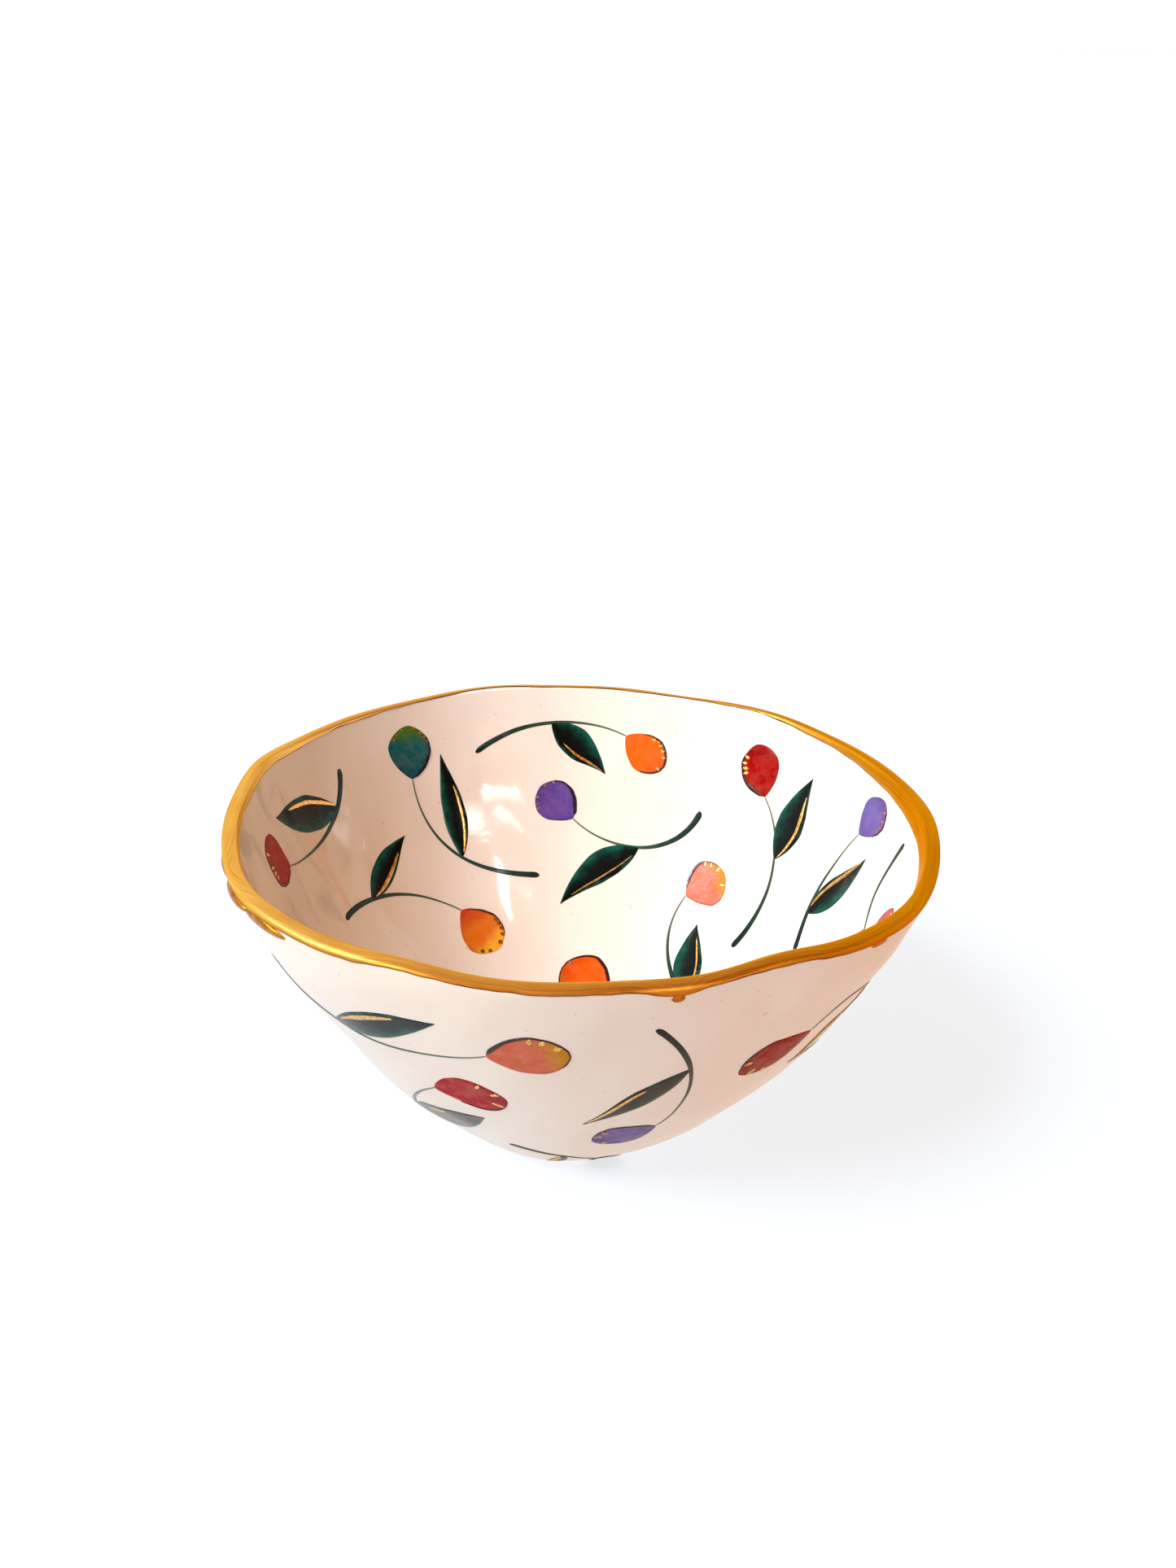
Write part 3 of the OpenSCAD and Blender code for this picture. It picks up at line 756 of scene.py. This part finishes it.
def build_gold_drops():
    marks = Marks()
    for az, down, width, length, height in GOLD_DROPS:
        stroke = Stroke(f"drop{az}", (0, length / 2), 180, length, 0, width, petal, 0.08)
        x, y, u, t = stroke.grid(20, 15)
        relief = height * np.sqrt(np.clip(1 - u * u, 0, 1)) * np.sin(np.pi * t) ** 0.5
        marks.add((OUT, az, down), x, y, u, t, relief)
    piece = marks.piece("gold_drops_look", "gold_lustre", "gold_drops")
    piece.data.materials.append(drop_material())


def build_foot():
    """Bare disc with a slightly rounded edge."""
    turns = 180
    az = np.arange(turns) * 360 / turns
    corner, middle, top = 0.25, 0.4, FOOT_T + 0.05
    outline = [(middle, 0.0)]
    outline += [(PAD_R - corner + corner * sind(a), corner - corner * cosd(a)) for a in range(0, 91, 15)]
    outline += [(PAD_R, top), (middle, top)]
    points = np.concatenate([spin(az, np.full(turns, r), np.full(turns, z)) for r, z in outline])
    rows = len(outline)
    faces = grid_faces(rows, turns, wrap_cols=True)
    faces.append(tuple(range(turns))[::-1])
    faces.append(tuple((rows - 1) * turns + i for i in range(turns)))
    piece = make_piece("foot_pad_look", points, faces, "bare_porcelain", "foot_pad")
    piece.data.materials.append(bare_material())


# ---------------------------------------------------------------- materials


def linear(red, green, blue):
    """Scene colour of a screen colour given from 0 to 255."""
    def one(v):
        v = v / 255
        return v / 12.92 if v <= 0.04045 else ((v + 0.055) / 1.055) ** 2.4
    return (one(red), one(green), one(blue), 1)


class Nodes:
    """Short forms for building a material's node tree."""

    def __init__(self, name):
        self.material = bpy.data.materials.new(name)
        self.material.use_nodes = True
        self.tree = self.material.node_tree
        self.shader = self.tree.nodes["Principled BSDF"]

    def node(self, kind, **settings):
        made = self.tree.nodes.new("ShaderNode" + kind)
        for key, value in settings.items():
            setattr(made, key, value)
        return made

    def link(self, source, target):
        self.tree.links.new(source, target)

    def attribute(self, name):
        return self.node("Attribute", attribute_name=name).outputs["Fac"]

    def place(self):
        return self.node("TexCoord").outputs["Object"]

    def noise(self, scale, detail=3.0, rough=0.5, vector=None):
        made = self.node("TexNoise")
        made.inputs["Scale"].default_value = scale
        made.inputs["Detail"].default_value = detail
        made.inputs["Roughness"].default_value = rough
        self.link(vector or self.place(), made.inputs["Vector"])
        return made.outputs["Fac"]

    def ramp(self, value, stops, how="LINEAR"):
        made = self.node("ValToRGB")
        ramp = made.color_ramp
        ramp.interpolation = how
        while len(ramp.elements) < len(stops):
            ramp.elements.new(0.5)
        for element, (at, colour) in zip(ramp.elements, stops):
            element.position = at
            element.color = colour
        self.link(value, made.inputs["Fac"])
        return made.outputs["Color"]

    def grey(self, value, low, high, at_low, at_high):
        """Number that goes from low to high while the value goes from at_low to at_high."""
        made = self.node("MapRange")
        for key, v in zip(("From Min", "From Max", "To Min", "To Max"), (at_low, at_high, low, high)):
            made.inputs[key].default_value = v
        self.link(value, made.inputs["Value"])
        return made.outputs["Result"]

    def math(self, how, a, b):
        made = self.node("Math", operation=how)
        for socket, v in zip(made.inputs, (a, b)):
            if isinstance(v, (int, float)):
                socket.default_value = v
            else:
                self.link(v, socket)
        return made.outputs["Value"]

    def mix(self, share, a, b, how="MIX"):
        """Colour a at a share of 0 and b at 1."""
        made = self.node("Mix", data_type="RGBA", blend_type=how)
        for socket, v in ((made.inputs[0], share), (made.inputs[6], a), (made.inputs[7], b)):
            if isinstance(v, (int, float, tuple)):
                socket.default_value = v
            else:
                self.link(v, socket)
        return made.outputs[2]

    def bump(self, height, distance):
        made = self.node("Bump")
        made.inputs["Distance"].default_value = distance
        self.link(height, made.inputs["Height"])
        self.link(made.outputs["Normal"], self.shader.inputs["Normal"])

    def set(self, **values):
        """Sets or links the shader's inputs, with _ for the spaces in their names."""
        for key, value in values.items():
            socket = self.shader.inputs[key.replace("_", " ")]
            if isinstance(value, (int, float, tuple)):
                socket.default_value = value
            else:
                self.link(value, socket)


MADE = {}


def once(make):
    """Keeps one material for each set of arguments."""
    def kept(*key):
        if (make, key) not in MADE:
            MADE[make, key] = make(*key)
        return MADE[make, key]
    return kept


# Tint of the painted shade where it is strongest: a warm brown that darkens the glaze
PAINTED_SHADE_TINT = (0.82, 0.7, 0.53, 1)


@once
def porcelain_material():
    n = Nodes("glazed porcelain")
    cloud = n.noise(28, 2)
    colour = n.ramp(cloud, [(0.3, linear(240, 235, 231)), (0.7, linear(235, 228, 223))])
    # Painted shade: the glaze is multiplied by a warm brown towards one side
    colour = n.mix(n.attribute("warm"), colour, PAINTED_SHADE_TINT, "MULTIPLY")
    specks = n.noise(900, 1, 0.4)
    colour = n.mix(n.grey(specks, 0, 0.35, 0.74, 0.80), colour, linear(168, 140, 116))
    rough = n.grey(n.noise(60, 3), 0.05, 0.13, 0.3, 0.7)
    n.set(Base_Color=colour, Roughness=rough, IOR=1.5, Subsurface_Weight=0.12, Subsurface_Scale=0.002,
          Subsurface_Radius=(1.0, 0.82, 0.66))
    n.bump(n.math("ADD", n.noise(180, 3, 0.55), n.math("MULTIPLY", n.noise(620, 3, 0.6), 0.2)), 0.00006)
    return n.material


@once
def bare_material():
    n = Nodes("bare porcelain")
    grain = n.noise(1400, 4, 0.7)
    colour = n.ramp(grain, [(0.3, linear(226, 214, 198)), (0.7, linear(243, 236, 226))])
    n.set(Base_Color=colour, Roughness=n.grey(grain, 0.7, 0.95, 0.3, 0.7), IOR=1.45)
    n.bump(grain, 0.00006)
    return n.material


# Colours of a head: at the neck, in the middle, at the tip, and of its dark line
HEADS = {
    "teal": ((0, 70, 84), (0, 88, 90), (66, 108, 2), (3, 8, 34)),
    "orange": ((228, 88, 0), (232, 96, 2), (222, 84, 0), (56, 20, 5)),
    "violet": ((76, 52, 138), (94, 68, 150), (80, 54, 136), (24, 6, 56)),
    "red": ((142, 0, 2), (150, 0, 2), (134, 0, 2), (52, 2, 6)),
    "lilac": ((88, 76, 148), (100, 88, 160), (86, 70, 142), (56, 28, 64)),
    "peach": ((190, 94, 70), (194, 100, 76), (184, 130, 30), (52, 18, 30)),
    "coral": ((212, 80, 0), (218, 88, 4), (200, 72, 0), (54, 10, 8)),
    "scarlet": ((150, 14, 4), (156, 16, 6), (140, 12, 6), (76, 6, 6)),
    "amber": ((192, 56, 24), (216, 112, 26), (236, 172, 42), (64, 22, 6)),
    "rose": ((170, 40, 54), (178, 52, 66), (162, 40, 58), (70, 14, 26)),
    "crimson": ((156, 8, 26), (162, 12, 30), (144, 6, 24), (60, 3, 17)),
}


@once
def head_material(paint, side):
    """Enamel of one paint. Outside it is thinner and duller than inside."""
    neck, middle, tip, _ = (linear(*c) for c in HEADS[paint])
    n = Nodes(paint + " enamel")
    wash = n.noise(260, 4, 0.6)
    t = n.math("ADD", n.attribute("t"), n.math("MULTIPLY", n.math("SUBTRACT", wash, 0.5), 0.5))
    colour = n.ramp(t, [(0.05, neck), (0.45, middle), (0.62, middle), (0.88, tip)])
    edge = n.math("ABSOLUTE", n.attribute("u"), 0.0)
    pooled = n.mix(0.35, colour, (0, 0, 0, 1))
    colour = n.mix(n.grey(edge, 0, 0.55, 0.8, 1.0), colour, pooled)
    pale, gloss = (0.07, 1.14) if side == IN else (0.16, 1.08)
    thin = n.grey(n.noise(420, 4, 0.6), 0, 0.8, 0.4, 0.75)
    colour = n.mix(thin, colour, n.mix(pale, colour, linear(255, 205, 180)))
    n.set(Base_Color=colour, Roughness=n.grey(wash, 0.1, 0.2, 0.3, 0.7), IOR=gloss)
    n.bump(n.noise(900, 3, 0.6), 0.00006)
    return n.material


@once
def green_material():
    """Stems fade towards the head, and a leaf is darkest down its middle."""
    n = Nodes("green enamel")
    t, u, leaf = n.attribute("t"), n.attribute("u"), n.attribute("tone")
    wash = n.noise(300, 4, 0.6)
    shift = n.math("MULTIPLY", n.math("SUBTRACT", wash, 0.5), 0.9)
    dark = n.ramp(n.math("ADD", n.grey(u, 0, 1, -1, 1), shift),
                  [(0.04, linear(8, 78, 66)), (0.22, linear(4, 48, 42)), (0.42, linear(2, 20, 20)),
                   (0.62, linear(1, 6, 8)), (0.88, linear(2, 12, 13)), (0.98, linear(8, 62, 54))])
    stem = n.ramp(n.math("ADD", t, n.math("MULTIPLY", shift, 0.4)),
                  [(0.0, linear(104, 118, 100)), (0.35, linear(56, 80, 66)), (0.7, linear(22, 54, 44)),
                   (0.95, linear(8, 34, 30))])
    colour = n.mix(leaf, stem, dark)
    n.set(Base_Color=colour, Roughness=n.grey(wash, 0.09, 0.18, 0.3, 0.7), IOR=1.25)
    n.bump(n.noise(900, 3, 0.6), 0.00003)
    return n.material


@once
def dark_material():
    n = Nodes("dark enamel lines")
    looks = list(HEADS)
    stops = [((i + 0.02) / len(looks), linear(*HEADS[p][3])) for i, p in enumerate(looks)]
    which = n.math("DIVIDE", n.math("ADD", n.attribute("tone"), 0.5), float(len(looks)))
    colour = n.ramp(which, stops, "CONSTANT")
    wash = n.noise(1500, 3)
    colour = n.mix(n.grey(wash, 0, 0.3, 0.5, 0.8), colour, linear(120, 74, 40))
    n.set(Base_Color=colour, Roughness=n.grey(wash, 0.1, 0.22, 0.3, 0.7), IOR=1.33)
    n.bump(wash, 0.00003)
    return n.material


@once
def line_gold_material():
    n = Nodes("gold lines")
    wash = n.noise(1200, 3)
    colour = n.ramp(wash, [(0.3, linear(206, 146, 66)), (0.7, linear(248, 206, 132))])
    colour = n.mix(n.attribute("tone"), colour, linear(120, 58, 14))
    n.set(Base_Color=colour, Metallic=1.0, Roughness=n.grey(wash, 0.2, 0.38, 0.3, 0.7))
    n.bump(wash, 0.00004)
    return n.material


@once
def drop_material():
    n = Nodes("gold drops")
    wash = n.noise(500, 3)
    colour = n.ramp(wash, [(0.3, linear(150, 84, 18)), (0.7, linear(206, 134, 44))])
    n.set(Base_Color=colour, Metallic=1.0, Roughness=n.grey(wash, 0.2, 0.36, 0.3, 0.7))
    n.bump(wash, 0.00006)
    return n.material


@once
def rim_gold_material():
    """Streaked gold, painted paler on the left and deeper orange on the right as painted light, from the
    light on the left and a warm reflection on the right, paler by its inner edge, with a burnt and ragged
    edge.
    """
    n = Nodes("gold lustre")
    from_out, from_in = n.attribute("from_out"), n.attribute("from_in")
    split = n.node("SeparateXYZ")
    n.link(n.place(), split.inputs[0])
    grain = n.node("CombineXYZ")
    for k, (value, scale) in enumerate(((split.outputs[0], 12), (split.outputs[1], 12), (from_out, 1.6))):
        n.link(n.math("MULTIPLY", value, float(scale)), grain.inputs[k])
    streak = n.noise(3.0, 5, 0.6, vector=grain.outputs[0])
    cloud = n.noise(90, 4, 0.6)
    # Painted light: the ramp called thin is paler gold for the lit left, and the one called thick is
    # deeper orange for the warm reflection on the right
    thin = n.ramp(streak, [(0.25, linear(222, 162, 66)), (0.5, linear(238, 188, 96)),
                           (0.75, linear(248, 212, 130))])
    thick = n.ramp(streak, [(0.25, linear(190, 112, 10)), (0.5, linear(212, 140, 18)),
                            (0.75, linear(230, 164, 36))])
    colour = n.mix(n.grey(split.outputs[0], 0, 1, -0.06, 0.05), thin, thick)
    colour = n.mix(n.grey(cloud, 0, 0.25, 0.45, 0.75), colour, linear(206, 134, 44))
    colour = n.mix(n.grey(from_in, 0.35, 0, 0.2, 1.2), colour, linear(244, 204, 124))
    colour = n.mix(n.grey(from_out, 0.8, 0, 0.2, 1.3), colour, linear(178, 96, 12))
    ragged = n.math("MULTIPLY", n.math("SUBTRACT", cloud, 0.5), 0.5)
    near = n.math("MINIMUM", from_out, n.math("MULTIPLY", from_in, 1.6))
    burnt = n.grey(n.math("ADD", near, ragged), 1, 0, 0.12, 0.34)
    colour = n.mix(burnt, colour, linear(92, 38, 8))
    rough = n.math("ADD", n.math("MULTIPLY", streak, 0.6), n.math("MULTIPLY", cloud, 0.4))
    n.set(Base_Color=colour, Metallic=1.0, Specular_Tint=(1.0, 0.72, 0.35, 1.0))
    n.set(Roughness=n.grey(rough, 0.26, 0.46, 0.3, 0.7))
    n.bump(n.math("ADD", streak, n.math("MULTIPLY", cloud, 0.4)), 0.00007)
    return n.material


# ---------------------------------------------------------------- camera, light and floor


# The point that the camera is measured from, its distance from there, and its angles in degrees
CAMERA_FROM = (1.35, -12.2, 63.3)
CAMERA_DISTANCE = 330
CAMERA_ELEVATION = 26
CAMERA_PITCH = 24.165
CAMERA_ROLL = 2
CAMERA_LENS = 38.78


def add_camera():
    data = bpy.data.cameras.new("camera")
    data.sensor_fit = "VERTICAL"
    data.sensor_height = 36
    data.lens = CAMERA_LENS
    data.clip_start = 0.01
    camera = bpy.data.objects.new("camera", data)
    bpy.context.scene.collection.objects.link(camera)
    elevation = math.radians(CAMERA_ELEVATION)
    x, y, z = CAMERA_FROM
    back, up = CAMERA_DISTANCE * math.cos(elevation), CAMERA_DISTANCE * math.sin(elevation)
    camera.matrix_world = (
        Matrix.Translation(Vector((x, y - back, z + up)) * MM)
        @ Matrix.Rotation(math.pi / 2 - math.radians(CAMERA_PITCH), 4, "X")
        @ Matrix.Rotation(math.radians(CAMERA_ROLL), 4, "Z")
    )
    bpy.context.scene.camera = camera


# Light of the room round the bowl: above it, at the horizon and below it
SKY_LEFT = (1.25, 1.18, 1.06)
SKY_MIDDLE = (0.5, 0.22, 0.11)
SKY_RIGHT = (0.4, 0.15, 0.06)
SKY_BEHIND = (1.05, 0.96, 0.84)
HORIZON = (1.02, 1.02, 1.02)
GROUND_LEFT = (1.05, 1.18, 1.32)
GROUND_MIDDLE = (0.92, 0.83, 0.75)
GROUND_RIGHT = (0.98, 0.58, 0.36)


def way_to(azimuth, elevation):
    """Direction from the bowl, of length 1."""
    return Vector((cosd(azimuth) * cosd(elevation), sind(azimuth) * cosd(elevation), sind(elevation)))


def add_lamp(data, azimuth, elevation, distance, colour):
    """Light that shines on the bowl from an azimuth and an elevation, in degrees."""
    way = way_to(azimuth, elevation)
    data.color = colour
    lamp = bpy.data.objects.new(data.name, data)
    lamp.location = Vector((0, 0, 0.03)) + distance * way
    lamp.rotation_euler = way.to_track_quat("Z", "Y").to_euler()
    bpy.context.scene.collection.objects.link(lamp)
    return lamp


def add_sun(name, azimuth, elevation, angle, power, colour):
    """Broad light from far off, which the glaze doesn't reflect as a disc."""
    data = bpy.data.lights.new(name, "SUN")
    data.energy = power
    data.angle = math.radians(angle)
    add_lamp(data, azimuth, elevation, 1.0, colour).visible_glossy = False


def add_glint(name, azimuth, elevation, size, radiance, colour=(1, 1, 1)):
    """Small window that shows only as a reflection in the glaze."""
    add_window(name, azimuth, elevation, size, radiance, colour).visible_diffuse = False


def add_window(name, azimuth, elevation, size, radiance, colour=(1, 1, 1)):
    data = bpy.data.lights.new(name, "AREA")
    data.shape = "RECTANGLE"
    data.size, data.size_y = size
    data.energy = math.pi * size[0] * size[1] * radiance
    return add_lamp(data, azimuth, elevation, 1.2, colour)


def add_floor():
    """Pale ground that glows a little, so that it shows white with a soft grey shadow."""
    mesh = bpy.data.meshes.new("floor")
    half = 40.0
    corners = [(-half, -half, 0), (half, -half, 0), (half, half, 0), (-half, half, 0)]
    mesh.from_pydata(corners, [], [(0, 1, 2, 3)])
    floor = bpy.data.objects.new("floor", mesh)
    bpy.context.scene.collection.objects.link(floor)
    n = Nodes("pale floor")
    tint = n.ramp(n.noise(6, 2), [(0.3, linear(128, 150, 175)), (0.7, linear(131, 153, 178))])
    n.set(Base_Color=tint, Roughness=0.9, Emission_Color=(1.0, 1.0, 1.0, 1), Emission_Strength=0.71)
    mesh.materials.append(n.material)
    floor.visible_diffuse = False
    floor.visible_glossy = False


def add_world():
    """Bright to the left and behind, warm to the right, with a white band along the horizon."""
    world = bpy.data.worlds.new("studio")
    world.use_nodes = True
    tree = world.node_tree

    def node(kind, **values):
        made = tree.nodes.new("ShaderNode" + kind)
        for key, value in values.items():
            made.inputs[key.replace("_", " ")].default_value = value
        return made

    def mix(share, a, b):
        made = tree.nodes.new("ShaderNodeMix")
        made.data_type = "RGBA"
        for socket, source in zip((made.inputs[0], made.inputs[6], made.inputs[7]), (share, a, b)):
            tree.links.new(source, socket)
        return made.outputs[2]

    def sides(stops):
        ramp = node("ValToRGB")
        while len(ramp.color_ramp.elements) < len(stops):
            ramp.color_ramp.elements.new(0.5)
        for element, (at, colour) in zip(ramp.color_ramp.elements, stops):
            element.position = at
            element.color = (*colour, 1)
        tree.links.new(sideways.outputs["Result"], ramp.inputs["Fac"])
        return ramp.outputs["Color"]

    split = node("SeparateXYZ")
    tree.links.new(node("TexCoord").outputs["Generated"], split.inputs[0])
    sideways = node("MapRange", From_Min=-1.0)
    tree.links.new(split.outputs[0], sideways.inputs["Value"])
    behind = node("MapRange", From_Min=0.2, From_Max=0.9)
    tree.links.new(split.outputs[1], behind.inputs["Value"])
    sky_behind = node("RGB")
    sky_behind.outputs[0].default_value = (*SKY_BEHIND, 1)
    above = sides([(0.12, SKY_LEFT), (0.5, SKY_MIDDLE), (0.85, SKY_RIGHT)])
    above = mix(behind.outputs["Result"], above, sky_behind.outputs[0])
    below = sides([(0.2, GROUND_LEFT), (0.5, GROUND_MIDDLE), (0.8, GROUND_RIGHT)])
    band = node("RGB")
    band.outputs[0].default_value = (*HORIZON, 1)
    over_band = node("MapRange", From_Min=0.18, From_Max=0.3)
    over_ground = node("MapRange", From_Min=-0.05, From_Max=0.0)
    for height in (over_band, over_ground):
        tree.links.new(split.outputs[2], height.inputs["Value"])
    low = mix(over_ground.outputs["Result"], below, band.outputs[0])
    whole = mix(over_band.outputs["Result"], low, above)
    tree.links.new(whole, tree.nodes["Background"].inputs["Color"])
    bpy.context.scene.world = world


def add_lights():
    add_sun("key", 211, 49, 30, 3.0, (1.0, 0.96, 0.9))
    add_window("left_window", 200, 33, (0.34, 0.26), 9)
    add_glint("front_window", 308, 32.5, (0.42, 0.09), 16, (1.0, 0.98, 0.94))
    add_glint("tall_window", 313, 43.5, (0.06, 0.19), 30, (1.0, 0.98, 0.94))
    add_glint("small_window", 247, 28, (0.035, 0.04), 90)
    add_glint("side_window", 199, 34, (0.1, 0.1), 110)
    add_glint("right_window", 16, 15, (0.14, 0.1), 3)
    bpy.context.scene.view_settings.view_transform = "Standard"


# ---------------------------------------------------------------- the bowl

add_camera()
add_floor()
add_world()
add_lights()
build_body()
build_foot()
build_gold_rim()
build_gold_drops()
for one_sprig in SPRIGS:
    build_head(one_sprig)
    build_greenery(one_sprig)
build_dark_lines(IN, "inner_dark_lines")
build_dark_lines(OUT, "outer_dark_lines")
build_gold_lines(IN, "inner_gold_lines")
build_gold_lines(OUT, "outer_gold_lines")
